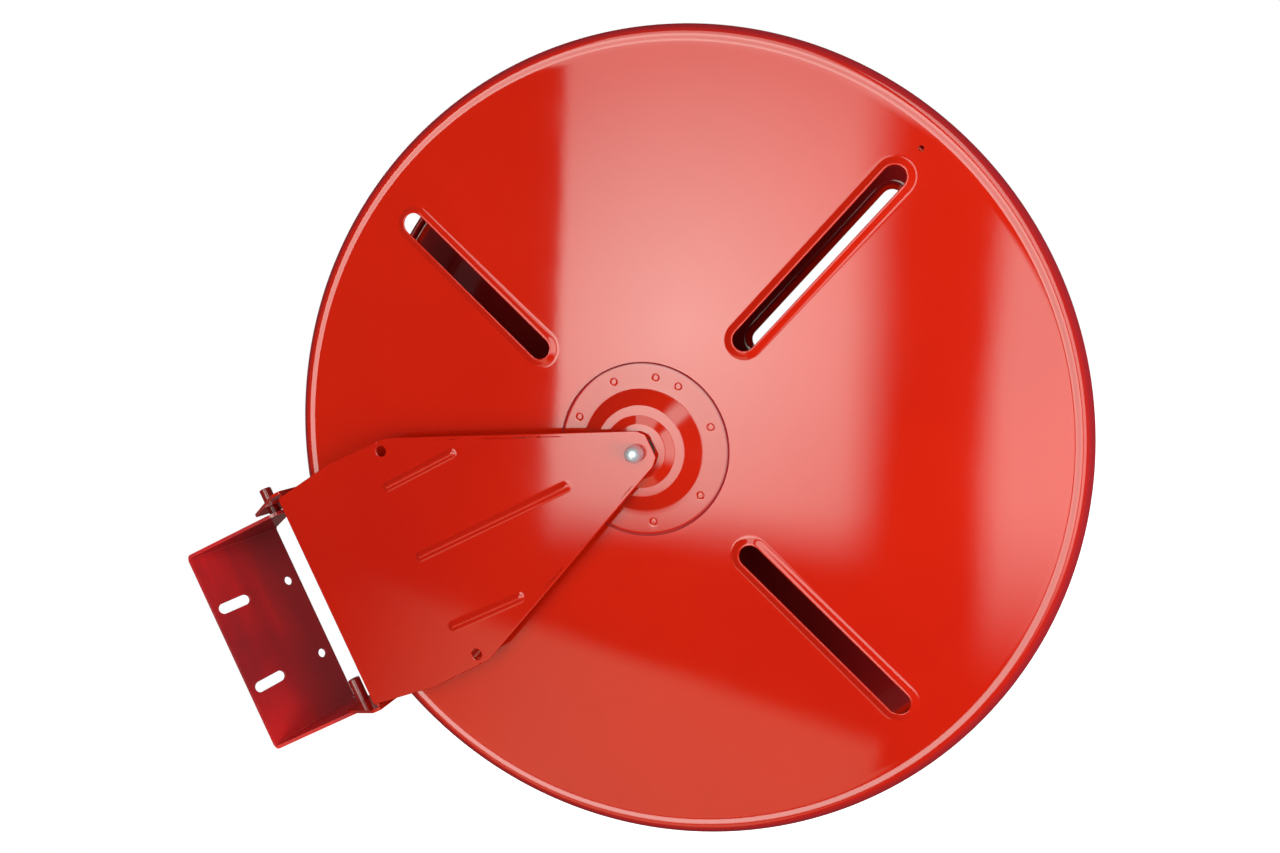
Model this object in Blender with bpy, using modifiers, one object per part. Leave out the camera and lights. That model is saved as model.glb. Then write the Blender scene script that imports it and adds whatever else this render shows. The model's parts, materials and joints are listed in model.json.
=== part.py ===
"""Swing-out storage reel for lay-flat fire hose, on a wall bracket with two lift-off hinge pins.

Units are metres, +Z is up and +X is the wall's normal, pointing into the room. The origin lies on
the back face of the wall plate, behind the swing axis. The swing axis is vertical. The reel turns on a
level axle at the far end of the two arms. Run with: blender --background --python part.py
"""
import math

import bmesh
import bpy
from mathutils import Matrix, Vector

# Fits
GAP = 0.0003                 # clearance between neighbours that touch
TURN_GAP = 0.0004            # running clearance of a turning fit
WELD_DISTANCE = 0.00002      # merging distance, far below any real feature

# Wall bracket: a pressed channel with tapered flanges
BRACKET_SHEET = 0.003
BRACKET_SLOT_EDGE = -0.0455  # Y of the plate's edge beside the slots
BRACKET_HOLE_EDGE = 0.0420   # Y of the plate's edge beside the round holes
BRACKET_HEIGHT = 0.186
BRACKET_BEND = 0.006         # outside radius of the bends
HINGE_REACH = 0.075          # from the wall to the swing axis
FLANGE_TIP_RADIUS = 0.013
SLOT_WIDTH = 0.0095
HOLE_RADIUS = 0.00425
FIXING_SPACING = 0.076       # between the upper and the lower fixings
SLOT_LENGTH = 0.0305
SLOT_SIDE = -0.0255          # Y of the slots' centre
HOLE_SIDE = 0.031            # Y of the round holes' centre

# Hinge pins and the ears that hang on them
PIN_RADIUS = 0.005
PIN_STAND = 0.024            # length of pin above its flange
PIN_CHAMFER = 0.001
PIN_HOLE_RADIUS = PIN_RADIUS + 0.0006
EAR_THICKNESS = 0.0025
EAR_TIP_REACH = 0.010        # from the swing axis to the free end of an ear
EAR_TIP_HALF_WIDTH = 0.013
UPPER_EAR_LIFT = 0.0035      # the frame's weight rests on the lower ear only

# Swing frame: two arms and the spine between them
SWING_ANGLE = math.radians(13.5)     # arms from the wall's normal, at rest
HUB_REACH = 0.3447                   # from the swing axis to the axle
HUB_LIFT = 0.005                     # axle above the middle of the bracket
ARM_THICKNESS = 0.003
ARM_INNER_FACE = 0.057               # from the reel's middle plane
ARM_ROOT = -0.2830                   # hinge side of the arms, from the axle
ARM_BELLY = -0.226
ARM_SHOULDER = -0.172
ARM_ROOT_HALF = 0.0885
ARM_BELLY_HALF = 0.0935
ARM_SHOULDER_HALF = 0.0905
ARM_NOSE = 0.012                     # end of the arms, beyond the axle
ARM_NOSE_HALF = 0.0085
CORNER_HOLE_X = -0.1795
CORNER_HOLE_HALF = 0.083
CORNER_HOLE_RADIUS = 0.004
BEAD_RADIUS = 0.0036
BEAD_RISE = 0.0018                   # crown of a bead above the arm's face
BEAD_START = -0.191
LONG_BEAD_END = -0.053
SHORT_BEAD_END = -0.123
SIDE_BEAD_HALF = 0.0573
SPINE_THICKNESS = 0.002

# Reel: two dished discs with rolled rims
DISC_RADIUS = 0.280
DISC_SHEET = 0.0015
RIM_PLANE = 0.04005          # middle of the rolled rim, from the reel's middle plane
RIM_FACE = 0.0012            # outer face at the rim, outside the rim plane
HUB_FACE = 0.0022            # outer face at the hub, outside the rim plane
HUB_FLAT_RADIUS = 0.063
DISH_EDGE_RADIUS = 0.2665
ROLL_RADIUS = 0.0047         # outside radius of the rolled rim
ROLL_START = math.radians(150)
ROLL_END = math.radians(-140)
ROLL_POINTS = 8
DISC_HOLE_RADIUS = 0.026
DISC_STEPS = 64
SLOT_COUNT = 4
SLOT_PHASE = math.radians(20.7)
SLOT_INNER = 0.1029          # centre of a slot's inner end
SLOT_OUTER = 0.2363
SLOT_HALF_WIDTH = 0.0075
LIP_WIDTH = 0.0040
LIP_RISE = 0.0012
TIE_HOLE_REACH = 0.259
TIE_HOLE_RADIUS = 0.0018

# Hub: caps, core, bushings and axle
CAP_SHEET = 0.0015
CAP_RADIUS = 0.0607
CAP_WALL_FOOT = 0.0442       # radius where the wall rises from the flange
CAP_RIDGE = 0.0313           # outer radius of the level step
CAP_STEP_INNER = 0.0252      # inner radius of the level step
CAP_STEP_DROP = 0.0030       # level step below the centre
CAP_SHOULDER = 0.0190        # radius where the centre turns from steep to shallow
CAP_SHOULDER_DROP = 0.0008
CAP_CROWN = 0.0125           # radius of the flat centre, under the bushing
CAP_STEPS = 48
CORE_RADIUS = 0.035
CORE_WALL = 0.002
BOLT_RADIUS = 0.004
BOLT_HEAD_RADIUS = 0.00605
BOLT_HEAD_HEIGHT = 0.0110
SLEEVE_RADIUS = 0.007
BUSHING_RADIUS = 0.0095
BUSHING_FLANGE_RADIUS = 0.012
BUSHING_FLANGE = 0.0015
BUSHING_DEPTH = 0.010
THRUST_RADIUS = 0.0105
THRUST_THICKNESS = 0.001
WASHER_RADIUS = 0.008
WASHER_THICKNESS = 0.0016
NUT_ACROSS_FLATS = 0.013
NUT_HEIGHT = 0.0065
BOLT_END_STAND = 0.0022      # thread beyond the nut
SMALL_STEPS = 32

ARM_OUTER_FACE = ARM_INNER_FACE + ARM_THICKNESS
FLANGE_TOP = BRACKET_HEIGHT / 2
SHELF_TOP = -BRACKET_HEIGHT / 2 + BRACKET_SHEET      # upper face of the lower flange
UPPER_EAR_BASE = FLANGE_TOP + UPPER_EAR_LIFT
LOWER_EAR_BASE = SHELF_TOP + GAP
ROOT_FROM_HINGE = HUB_REACH + ARM_ROOT


# ---------------------------------------------------------------- scene and materials

def clear_scene():
    for obj in list(bpy.data.objects):
        bpy.data.objects.remove(obj, do_unlink=True)


def make_collection(name):
    collection = bpy.data.collections.new(name)
    bpy.context.scene.collection.children.link(collection)
    return collection


def make_material(name, colour, roughness, metallic):
    material = bpy.data.materials.new(name)
    material.use_nodes = True
    shader = material.node_tree.nodes["Principled BSDF"]
    shader.inputs["Base Color"].default_value = (*colour, 1.0)
    shader.inputs["Roughness"].default_value = roughness
    shader.inputs["Metallic"].default_value = metallic
    material.diffuse_color = (*colour, 1.0)
    return material


def red_enamel(name):
    return make_material(name, (0.62, 0.018, 0.006), 0.22, 0.0)


def bright_zinc(name):
    return make_material(name, (0.72, 0.72, 0.74), 0.18, 1.0)


def plain_steel(name):
    return make_material(name, (0.45, 0.45, 0.46), 0.35, 1.0)


def black_nylon(name):
    return make_material(name, (0.02, 0.02, 0.022), 0.5, 0.0)


def make_empty(name, location, rotation, parent=None):
    empty = bpy.data.objects.new(name, None)
    empty.location = location
    empty.rotation_euler = rotation
    empty.parent = parent
    PARTS.objects.link(empty)
    return empty


# ---------------------------------------------------------------- shape helpers

def finish(obj, material, parent=None, location=(0.0, 0.0, 0.0), rotation=(0.0, 0.0, 0.0)):
    obj.data.materials.clear()
    obj.data.materials.append(material)
    obj.parent = parent
    obj.location = location
    obj.rotation_euler = rotation
    return obj


def hide_as_tool(obj):
    obj.hide_render = True
    obj.display_type = "WIRE"


def object_from_bmesh(name, bm, collection):
    mesh = bpy.data.meshes.new(name)
    bm.to_mesh(mesh)
    bm.free()
    obj = bpy.data.objects.new(name, mesh)
    collection.objects.link(obj)
    return obj


def shade(obj, angle=math.radians(35)):
    obj.data.shade_smooth()
    obj.data.set_sharp_from_angle(angle=angle)


def arc_points(centre, radius, start, end, count):
    """Points on an arc, both ends included."""
    points = []
    for index in range(count):
        angle = start + (end - start) * index / (count - 1)
        points.append((centre[0] + radius * math.cos(angle), centre[1] + radius * math.sin(angle)))
    return points


def circle_points(centre, radius, count):
    points = []
    for index in range(count):
        angle = 2 * math.pi * index / count
        points.append((centre[0] + radius * math.cos(angle), centre[1] + radius * math.sin(angle)))
    return points


def stadium_points(start, end, half_width, count):
    """Outline of a slot with round ends, around the line from start to end."""
    heading = math.atan2(end[1] - start[1], end[0] - start[0])
    quarter = math.pi / 2
    far_end = arc_points(end, half_width, heading - quarter, heading + quarter, count)
    near_end = arc_points(start, half_width, heading + quarter, heading + 3 * quarter, count)
    return far_end + near_end


def rounded_outline(corners, count=5):
    """Closed outline through (x, y, radius) corners, each rounded by an arc."""
    points = []
    total = len(corners)
    for index in range(total):
        x, y, radius = corners[index]
        here = Vector((x, y))
        before = (Vector(corners[index - 1][:2]) - here).normalized()
        after = (Vector(corners[(index + 1) % total][:2]) - here).normalized()
        half = before.angle(after) / 2
        setback = radius / math.tan(half)
        centre = here + (before + after).normalized() * (radius / math.sin(half))
        first = here + before * setback - centre
        last = here + after * setback - centre
        start = math.atan2(first.y, first.x)
        sweep = math.atan2(last.y, last.x) - start
        sweep = (sweep + math.pi) % (2 * math.pi) - math.pi
        points += arc_points(centre, radius, start, start + sweep, count)
    return points


def mesh_from_curve(curve_obj, collection):
    """A mesh object in place of a curve object, with its caps welded."""
    bpy.context.view_layer.update()
    depsgraph = bpy.context.evaluated_depsgraph_get()
    mesh = bpy.data.meshes.new_from_object(curve_obj.evaluated_get(depsgraph))
    name = curve_obj.name
    bpy.data.objects.remove(curve_obj, do_unlink=True)
    bm = bmesh.new()
    bm.from_mesh(mesh)
    bmesh.ops.remove_doubles(bm, verts=bm.verts, dist=WELD_DISTANCE)
    bmesh.ops.recalc_face_normals(bm, faces=bm.faces)
    bm.to_mesh(mesh)
    bm.free()
    mesh.name = name
    obj = bpy.data.objects.new(name, mesh)
    collection.objects.link(obj)
    return obj


def flat_solid(name, outlines, low, high, collection):
    """A plate from closed XY outlines, inner ones being holes, between two heights."""
    curve = bpy.data.curves.new(name, "CURVE")
    curve.dimensions = "2D"
    curve.fill_mode = "BOTH"
    curve.extrude = (high - low) / 2
    for outline in outlines:
        spline = curve.splines.new("POLY")
        spline.points.add(len(outline) - 1)
        for point, place in zip(spline.points, outline):
            point.co = (place[0], place[1], 0.0, 1.0)
        spline.use_cyclic_u = True
    obj = bpy.data.objects.new(name, curve)
    collection.objects.link(obj)
    solid = mesh_from_curve(obj, collection)
    for vertex in solid.data.vertices:
        vertex.co.z += (low + high) / 2
    return solid


def turned_solid(name, profile, steps, closed, collection):
    """A solid of revolution about Z from (radius, height) points that run down the outer side."""
    mesh = bpy.data.meshes.new(name)
    count = len(profile)
    edges = [(index, index + 1) for index in range(count - 1)]
    if closed:
        edges.append((count - 1, 0))
    mesh.from_pydata([(radius, 0.0, height) for radius, height in profile], edges, [])
    obj = bpy.data.objects.new(name, mesh)
    collection.objects.link(obj)
    screw = obj.modifiers.new("Turn", "SCREW")
    screw.axis = "Z"
    screw.angle = 2 * math.pi
    screw.steps = steps
    screw.render_steps = steps
    screw.use_merge_vertices = True
    screw.merge_threshold = WELD_DISTANCE
    screw.use_smooth_shade = True
    return obj


def sheet_profile(line, thickness):
    """Closed section of a sheet whose middle line runs outwards from the axis."""
    front = []
    back = []
    for index, point in enumerate(line):
        before = Vector(line[max(index - 1, 0)])
        after = Vector(line[min(index + 1, len(line) - 1)])
        along = (after - before).normalized()
        across = Vector((-along.y, along.x)) * (thickness / 2)
        front.append((point[0] + across.x, point[1] + across.y))
        back.append((point[0] - across.x, point[1] - across.y))
    return front + back[::-1]


def ring_profile(inner, outer, low, high):
    """Closed section of a plain ring."""
    return [(inner, high), (outer, high), (outer, low), (inner, low)]


def combine(obj, tool, operation):
    modifier = obj.modifiers.new(tool.name, "BOOLEAN")
    modifier.operation = operation
    modifier.solver = "EXACT"
    modifier.object = tool
    hide_as_tool(tool)


def place_tool(tool, parent, location=(0.0, 0.0, 0.0), rotation=(0.0, 0.0, 0.0)):
    tool.parent = parent
    tool.location = location
    tool.rotation_euler = rotation


# ---------------------------------------------------------------- wall bracket

def bracket_section():
    """Side view of the channel, as (X, Z) points."""
    outer = BRACKET_BEND
    inner = BRACKET_BEND - BRACKET_SHEET
    top = BRACKET_HEIGHT / 2
    reach = HINGE_REACH + FLANGE_TIP_RADIUS + BRACKET_SHEET
    quarter = math.pi / 2
    points = [(reach, top)]
    points += arc_points((outer, top - outer), outer, quarter, 2 * quarter, 5)
    points += arc_points((outer, -top + outer), outer, 2 * quarter, 3 * quarter, 5)
    points += [(reach, -top), (reach, -top + BRACKET_SHEET)]
    points += arc_points((outer, -top + outer), inner, 3 * quarter, 2 * quarter, 5)
    points += arc_points((outer, top - outer), inner, 2 * quarter, quarter, 5)
    points += [(reach, top - BRACKET_SHEET)]
    return points


def flange_outline():
    """Top view of the bracket: wide at the wall, round at the pin."""
    slot_side_lean = math.atan2(-BRACKET_SLOT_EDGE - FLANGE_TIP_RADIUS, HINGE_REACH)
    hole_side_lean = math.atan2(BRACKET_HOLE_EDGE - FLANGE_TIP_RADIUS, HINGE_REACH)
    tip = arc_points((HINGE_REACH, 0.0), FLANGE_TIP_RADIUS, slot_side_lean - math.pi / 2,
                     math.pi / 2 - hole_side_lean, 11)
    return [(-0.001, BRACKET_SLOT_EDGE), (0.004, BRACKET_SLOT_EDGE)] + tip + [
        (0.004, BRACKET_HOLE_EDGE), (-0.001, BRACKET_HOLE_EDGE)]


def make_wall_bracket(material):
    half = -BRACKET_SLOT_EDGE + 0.002
    channel = flat_solid("wall_bracket", [bracket_section()], -half, half, PARTS)
    finish(channel, material, rotation=(math.pi / 2, 0.0, 0.0))
    tall = BRACKET_HEIGHT / 2 + 0.01
    trim = flat_solid("bracket_plan", [flange_outline()], -tall, tall, TOOLS)
    combine(channel, trim, "INTERSECT")
    pin_bore = flat_solid("pin_bore", [circle_points((HINGE_REACH, 0.0), PIN_RADIUS + GAP, 20)],
                          -tall, tall, TOOLS)
    combine(channel, pin_bore, "DIFFERENCE")
    for side, level in (("upper", FIXING_SPACING / 2), ("lower", -FIXING_SPACING / 2)):
        run = SLOT_LENGTH / 2 - SLOT_WIDTH / 2
        start = (SLOT_SIDE - run, level)
        end = (SLOT_SIDE + run, level)
        slot = flat_solid(side + "_slot", [stadium_points(start, end, SLOT_WIDTH / 2, 7)],
                          -0.01, 0.01, TOOLS)
        place_tool(slot, None, rotation=(math.pi / 2, 0.0, math.pi / 2))
        combine(channel, slot, "DIFFERENCE")
        hole = flat_solid(side + "_hole", [circle_points((HOLE_SIDE, level), HOLE_RADIUS, 16)],
                          -0.01, 0.01, TOOLS)
        place_tool(hole, None, rotation=(math.pi / 2, 0.0, math.pi / 2))
        combine(channel, hole, "DIFFERENCE")
    shade(channel)
    return channel


def make_hinge_pin(name, base, material):
    length = BRACKET_SHEET + PIN_STAND
    radius = PIN_RADIUS
    profile = [(0.0, length), (radius - PIN_CHAMFER, length), (radius, length - PIN_CHAMFER),
               (radius, 0.0), (0.0, 0.0)]
    pin = turned_solid(name, profile, 24, False, PARTS)
    return finish(pin, material, location=(HINGE_REACH, 0.0, base))


# ---------------------------------------------------------------- swing frame

def make_ear(name, base, material, parent):
    """Flat plate from the spine to the swing axis; its own origin is on that axis."""
    root = ROOT_FROM_HINGE + SPINE_THICKNESS
    half = ARM_OUTER_FACE - 0.002
    outline = rounded_outline([(root, half, 0.001), (ROOT_FROM_HINGE - 0.006, half, 0.004),
                               (-EAR_TIP_REACH, EAR_TIP_HALF_WIDTH, 0.005),
                               (-EAR_TIP_REACH, -EAR_TIP_HALF_WIDTH, 0.005),
                               (ROOT_FROM_HINGE - 0.006, -half, 0.004), (root, -half, 0.001)], 4)
    bore = circle_points((0.0, 0.0), PIN_HOLE_RADIUS, 20)
    ear = flat_solid(name, [outline, bore], 0.0, EAR_THICKNESS, PARTS)
    shade(ear)
    return finish(ear, material, parent, (0.0, 0.0, base))


def make_spine(material, parent):
    """Plate that joins the two arms on the hinge side, between the ears."""
    low = LOWER_EAR_BASE + EAR_THICKNESS + GAP
    high = UPPER_EAR_BASE - GAP
    half = ARM_INNER_FACE - GAP
    outline = [(-half, low), (half, low), (half, high), (-half, high)]
    spine = flat_solid("frame_spine", [outline], 0.0, SPINE_THICKNESS, PARTS)
    return finish(spine, material, parent, (ROOT_FROM_HINGE, 0.0, 0.0), (math.pi / 2, 0.0, math.pi / 2))


def arm_outline():
    upper = [(ARM_ROOT, ARM_ROOT_HALF, 0.002), (ARM_BELLY, ARM_BELLY_HALF, 0.030),
             (ARM_SHOULDER, ARM_SHOULDER_HALF, 0.010), (ARM_NOSE - 0.005, ARM_NOSE_HALF + 0.005, 0.004),
             (ARM_NOSE, ARM_NOSE_HALF, 0.004)]
    lower = [(x, -y, radius) for x, y, radius in reversed(upper)]
    return rounded_outline(upper + lower)


def capsule(name, start, end, radius, height, collection):
    """Round-ended bar along X between two ends."""
    bm = bmesh.new()
    bmesh.ops.create_uvsphere(bm, u_segments=12, v_segments=8, radius=radius)
    bmesh.ops.rotate(bm, verts=bm.verts, matrix=Matrix.Rotation(math.pi / 2, 3, "Y"))
    half = (end[0] - start[0]) / 2
    for vertex in bm.verts:
        if vertex.co.x > WELD_DISTANCE:
            vertex.co.x += half
        elif vertex.co.x < -WELD_DISTANCE:
            vertex.co.x -= half
    bmesh.ops.recalc_face_normals(bm, faces=bm.faces)
    obj = object_from_bmesh(name, bm, collection)
    obj.location = ((start[0] + end[0]) / 2, start[1], height)
    return obj


def make_arm(name, side, material, parent):
    """One arm plate; side is 1 for the front arm and -1 for the rear one."""
    holes = [circle_points((0.0, 0.0), BOLT_RADIUS + GAP, 16)]
    for half in (CORNER_HOLE_HALF, -CORNER_HOLE_HALF):
        holes.append(circle_points((CORNER_HOLE_X, half), CORNER_HOLE_RADIUS, 16))
    arm = flat_solid(name, [arm_outline()] + holes, ARM_INNER_FACE, ARM_OUTER_FACE, PARTS)
    turn = (0.0, 0.0, 0.0) if side > 0 else (math.pi, 0.0, 0.0)
    finish(arm, material, parent, rotation=turn)
    beads = [("mid_bead", LONG_BEAD_END, 0.0), ("high_bead", SHORT_BEAD_END, SIDE_BEAD_HALF),
             ("low_bead", SHORT_BEAD_END, -SIDE_BEAD_HALF)]
    for label, end, level in beads:
        crown = ARM_OUTER_FACE + BEAD_RISE - BEAD_RADIUS
        bead = capsule(name + "_" + label, (BEAD_START, level), (end, level), BEAD_RADIUS, crown, TOOLS)
        bead.parent = arm
        combine(arm, bead, "UNION")
    shade(arm)
    return arm


# ---------------------------------------------------------------- reel

def face_height(radius):
    """Outer face of a disc above the reel's middle plane."""
    share = (radius - HUB_FLAT_RADIUS) / (DISH_EDGE_RADIUS - HUB_FLAT_RADIUS)
    share = min(max(share, 0.0), 1.0)
    return RIM_PLANE + HUB_FACE + share * (RIM_FACE - HUB_FACE)


def disc_profile():
    middle = DISC_SHEET / 2
    roll = ROLL_RADIUS - middle
    roll_centre = (DISC_RADIUS - ROLL_RADIUS, RIM_PLANE)
    line = [(DISC_HOLE_RADIUS, face_height(0.0) - middle),
            (HUB_FLAT_RADIUS, face_height(0.0) - middle),
            (DISH_EDGE_RADIUS, face_height(DISC_RADIUS) - middle)]
    line += arc_points(roll_centre, roll, ROLL_START, ROLL_END, ROLL_POINTS)
    return sheet_profile(line, DISC_SHEET)


def slot_cutter(label, angle, half_width, low, high):
    """Round-ended bar along a radius of the disc, lying at the slope of the disc's face."""
    middle = (SLOT_INNER + SLOT_OUTER) / 2
    run = (SLOT_OUTER - SLOT_INNER) / 2
    slope = math.atan((RIM_FACE - HUB_FACE) / (DISH_EDGE_RADIUS - HUB_FLAT_RADIUS))
    bar = flat_solid(label, [stadium_points((-run, 0.0), (run, 0.0), half_width, 7)], low, high, TOOLS)
    bar.rotation_euler = (0.0, -slope, angle)
    bar.location = (middle * math.cos(angle), middle * math.sin(angle), face_height(middle))
    return bar


def make_disc(name, side, material, parent):
    """One disc; side is 1 for the front disc and -1 for the rear one, which is turned over."""
    disc = turned_solid(name, disc_profile(), DISC_STEPS, True, PARTS)
    turn = (0.0, 0.0, 0.0) if side > 0 else (math.pi, 0.0, 0.0)
    finish(disc, material, parent, rotation=turn)
    phase = side * SLOT_PHASE
    for index in range(SLOT_COUNT):
        angle = phase + 2 * math.pi * index / SLOT_COUNT
        label = name + "_" + str(index + 1)
        collar = slot_cutter(label + "_lip", angle, SLOT_HALF_WIDTH + LIP_WIDTH, -DISC_SHEET / 2, LIP_RISE)
        collar.parent = disc
        combine(disc, collar, "UNION")
        opening = slot_cutter(label + "_slot", angle, SLOT_HALF_WIDTH, -0.02, 0.02)
        opening.parent = disc
        combine(disc, opening, "DIFFERENCE")
    tie = (TIE_HOLE_REACH * math.cos(phase), TIE_HOLE_REACH * math.sin(phase))
    tie_hole = flat_solid(name + "_tie_hole", [circle_points(tie, TIE_HOLE_RADIUS, 10)],
                          RIM_PLANE - 0.02, RIM_PLANE + 0.02, TOOLS)
    tie_hole.parent = disc
    combine(disc, tie_hole, "DIFFERENCE")
    return disc


def cap_base():
    return face_height(0.0) + GAP + CAP_SHEET / 2


def cap_crown():
    """Outer face of a hub cap's centre."""
    return ARM_INNER_FACE - GAP - THRUST_THICKNESS - TURN_GAP - BUSHING_FLANGE - GAP


def make_hub_cap(name, side, material, parent):
    """Stepped pressing, welded to the disc, that carries the bushing."""
    base = cap_base()
    crown = cap_crown() - CAP_SHEET / 2
    step = crown - CAP_STEP_DROP
    line = [(BUSHING_RADIUS + TURN_GAP, crown), (CAP_CROWN, crown),
            (CAP_SHOULDER, crown - CAP_SHOULDER_DROP), (CAP_STEP_INNER, step), (CAP_RIDGE, step),
            (CAP_RIDGE + 0.002, step - 0.0008), (CAP_WALL_FOOT - 0.002, base + 0.0005),
            (CAP_WALL_FOOT, base), (CAP_RADIUS, base)]
    cap = turned_solid(name, sheet_profile(line, CAP_SHEET), CAP_STEPS, True, PARTS)
    turn = (0.0, 0.0, 0.0) if side > 0 else (math.pi, 0.0, 0.0)
    return finish(cap, material, parent, rotation=turn)


def make_bushing(name, side, material, parent):
    crown = cap_crown() + GAP
    bore = SLEEVE_RADIUS + TURN_GAP
    profile = [(bore, crown + BUSHING_FLANGE), (BUSHING_FLANGE_RADIUS, crown + BUSHING_FLANGE),
               (BUSHING_FLANGE_RADIUS, crown), (BUSHING_RADIUS, crown),
               (BUSHING_RADIUS, crown - BUSHING_DEPTH), (bore, crown - BUSHING_DEPTH)]
    bushing = turned_solid(name, profile, SMALL_STEPS, True, PARTS)
    turn = (0.0, 0.0, 0.0) if side > 0 else (math.pi, 0.0, 0.0)
    return finish(bushing, material, parent, rotation=turn)


def make_core(material, parent):
    """Tube between the discs, which the hose is wound on."""
    half = face_height(0.0) - DISC_SHEET - GAP
    profile = ring_profile(CORE_RADIUS - CORE_WALL, CORE_RADIUS, -half, half)
    core = turned_solid("drum_core", profile, CAP_STEPS, True, PARTS)
    return finish(core, material, parent)


# ---------------------------------------------------------------- axle

def make_axle_bolt(material, parent):
    seat = ARM_OUTER_FACE + GAP
    crown = seat + BOLT_HEAD_HEIGHT
    dome_centre = (0.0, crown - BOLT_HEAD_RADIUS)
    profile = [(0.0, crown)]
    profile += arc_points(dome_centre, BOLT_HEAD_RADIUS, math.radians(72), 0.0, 5)
    profile += [(BOLT_HEAD_RADIUS, seat), (BOLT_RADIUS, seat), (BOLT_RADIUS, -bolt_end() + 0.001),
                (BOLT_RADIUS - 0.001, -bolt_end()), (0.0, -bolt_end())]
    bolt = turned_solid("axle_bolt", profile, SMALL_STEPS, False, PARTS)
    return finish(bolt, material, parent)


def washer_face():
    return ARM_OUTER_FACE + GAP + WASHER_THICKNESS


def bolt_end():
    return washer_face() + GAP + NUT_HEIGHT + BOLT_END_STAND


def make_axle_sleeve(material, parent):
    half = ARM_INNER_FACE - GAP
    sleeve = turned_solid("axle_sleeve", ring_profile(BOLT_RADIUS + GAP, SLEEVE_RADIUS, -half, half),
                          SMALL_STEPS, True, PARTS)
    return finish(sleeve, material, parent)


def make_thrust_washer(name, side, material, parent):
    """Washer between an arm and the bushing that turns against it."""
    high = ARM_INNER_FACE - GAP
    profile = ring_profile(SLEEVE_RADIUS + GAP, THRUST_RADIUS, high - THRUST_THICKNESS, high)
    washer = turned_solid(name, profile, SMALL_STEPS, True, PARTS)
    turn = (0.0, 0.0, 0.0) if side > 0 else (math.pi, 0.0, 0.0)
    return finish(washer, material, parent, rotation=turn)


def make_axle_washer(material, parent):
    profile = ring_profile(BOLT_RADIUS + GAP, WASHER_RADIUS, -washer_face(), -ARM_OUTER_FACE - GAP)
    washer = turned_solid("axle_washer", profile, SMALL_STEPS, True, PARTS)
    return finish(washer, material, parent)


def make_axle_nut(material, parent):
    corner = NUT_ACROSS_FLATS / math.sqrt(3)
    low = -washer_face() - GAP - NUT_HEIGHT
    outlines = [circle_points((0.0, 0.0), corner, 6), circle_points((0.0, 0.0), BOLT_RADIUS + GAP, 20)]
    nut = flat_solid("axle_nut", outlines, low, low + NUT_HEIGHT, PARTS)
    shade(nut)
    return finish(nut, material, parent)


# ---------------------------------------------------------------- assembly

clear_scene()
PARTS = make_collection("fire_hose_reel")
TOOLS = make_collection("cutters")

swing_axis = make_empty("swing_axis", (HINGE_REACH, 0.0, 0.0), (0.0, 0.0, SWING_ANGLE))
axle_station = make_empty("axle_station", (HUB_REACH, 0.0, HUB_LIFT), (math.pi / 2, 0.0, 0.0), swing_axis)
reel_axis = make_empty("reel_axis", (HUB_REACH, 0.0, HUB_LIFT), (math.pi / 2, 0.0, 0.0), swing_axis)

make_wall_bracket(red_enamel("bracket_red"))
make_hinge_pin("upper_hinge_pin", FLANGE_TOP - BRACKET_SHEET, red_enamel("upper_pin_red"))
make_hinge_pin("lower_hinge_pin", SHELF_TOP - BRACKET_SHEET, red_enamel("lower_pin_red"))

make_ear("upper_hinge_ear", UPPER_EAR_BASE, red_enamel("upper_ear_red"), swing_axis)
make_ear("lower_hinge_ear", LOWER_EAR_BASE, red_enamel("lower_ear_red"), swing_axis)
make_spine(red_enamel("spine_red"), swing_axis)
for label, side in (("front", 1), ("rear", -1)):
    make_arm(label + "_arm", side, red_enamel(label + "_arm_red"), axle_station)
    make_disc(label + "_disc", side, red_enamel(label + "_disc_red"), reel_axis)
    make_hub_cap(label + "_hub_cap", side, red_enamel(label + "_cap_red"), reel_axis)
    make_bushing(label + "_bushing", side, black_nylon(label + "_bushing_nylon"), reel_axis)
    make_thrust_washer(label + "_thrust_washer", side, plain_steel(label + "_washer_steel"), axle_station)
make_core(red_enamel("core_red"), reel_axis)

make_axle_bolt(bright_zinc("bolt_zinc"), axle_station)
make_axle_sleeve(plain_steel("sleeve_steel"), axle_station)
make_axle_washer(bright_zinc("washer_zinc"), axle_station)
make_axle_nut(bright_zinc("nut_zinc"), axle_station)
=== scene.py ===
"""Looks of the swing-out fire hose reel: fine sheet-metal pieces, enamel and plating, a white studio."""

import json
import math

import bmesh
import bpy
import numpy as np
from mathutils import Matrix, Vector
from mathutils.geometry import delaunay_2d_cdt


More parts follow.
